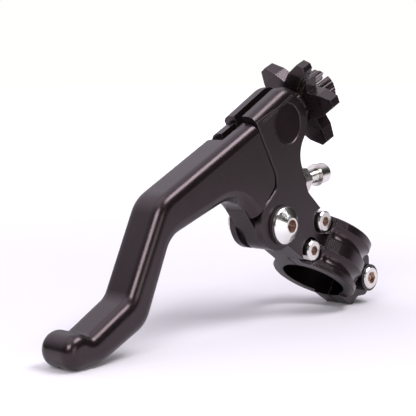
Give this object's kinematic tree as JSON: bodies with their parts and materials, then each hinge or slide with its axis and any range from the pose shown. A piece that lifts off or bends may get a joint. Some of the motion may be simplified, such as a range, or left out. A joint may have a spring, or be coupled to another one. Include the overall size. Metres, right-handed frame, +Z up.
{
  "type": "clutch lever",
  "caption": "Handlebar clutch lever: dog-leg blade pivoting in a forked perch, ribbed split clamp, slotted cable adjuster with star wheel, and a reach screw.",
  "frame": {"origin": "centre of the handlebar bore, on the bar axis inside the clamp", "axes": "lever plane is XZ, pivot axis along Y, +Z up, lever tip toward -X, cable adjuster toward +X and +Z, pivot bolt head on the -Y side"},
  "size_m": [0.1459, 0.0326, 0.0883],
  "materials": {
    "blade_black": "black anodised, satin bead-blasted",
    "perch_black": "black anodised, satin, milled faces",
    "cap_black": "black anodised, satin, milled ribs",
    "adjuster_black": "black anodised, fluted",
    "star_black": "black anodised, milled facets",
    "plug_black": "black anodised, turned face",
    "black_collar": "black anodised, turned",
    "dark_washer": "black oxide",
    "polished_steel": "polished, bright",
    "zinc_steel": "bright zinc plated",
    "hard_steel": "ground and hardened",
    "bronze": "sintered bronze",
    "nylon": "natural nylon"
  },
  "bodies": {
    "perch": {"perch": "perch_black", "clamp_cap": "cap_black", "pivot_bolt": "polished_steel", "pivot_washer": "dark_washer", "rear_washer": "zinc_steel", "pivot_nut": "zinc_steel", "thrust_washers": "nylon", "clamp_screws": "zinc_steel", "lug_screw": "zinc_steel", "lug_collar": "black_collar", "cross_nut": "plug_black", "lock_nut": "adjuster_black", "reach_nut": "zinc_steel"},
    "lever": {"lever": "blade_black", "pivot_bush": "bronze", "strike_plate": "hard_steel", "cable_anchor": "bronze"},
    "adjuster_travel": {"cable_ferrule": "bronze"},
    "adjuster": {"adjuster_barrel": "adjuster_black", "star_wheel": "star_black", "star_pin": "hard_steel"},
    "reach_travel": {"reach_pad": "hard_steel"},
    "reach_screw": {"reach_screw": "zinc_steel"}
  },
  "joints": [
    {"name": "lever_pull", "type": "hinge", "parent": "perch", "child": "lever", "pos_m": [-0.0311, 0, 0.0125], "axis": [0, -1, 0], "range_deg": [0, 26], "stiffness_Nm_per_rad": 0.2, "springref_deg": -22.92},
    {"name": "adjuster_slide", "type": "slide", "parent": "perch", "child": "adjuster_travel", "axis": [0.9135, 0, 0.4067], "range_m": [0, 0.005]},
    {"name": "adjuster_spin", "type": "hinge", "parent": "adjuster_travel", "child": "adjuster", "pos_m": [-0.0289, 0, 0.0458], "axis": [0.9135, 0, 0.4067], "range_deg": [0, 1440]},
    {"name": "reach_slide", "type": "slide", "parent": "perch", "child": "reach_travel", "axis": [0.9893, 0, 0.1461], "range_m": [0, 0.0032]},
    {"name": "reach_spin", "type": "hinge", "parent": "reach_travel", "child": "reach_screw", "pos_m": [-0.0055, 0, 0.0272], "axis": [0.9893, 0, 0.1461], "range_deg": [0, 1440]}
  ],
  "couplings": [
    {"joint": "adjuster_slide", "follows": "adjuster_spin", "m_per_rad": 0.00019894},
    {"joint": "reach_slide", "follows": "reach_spin", "m_per_rad": 0.00012732}
  ]
}
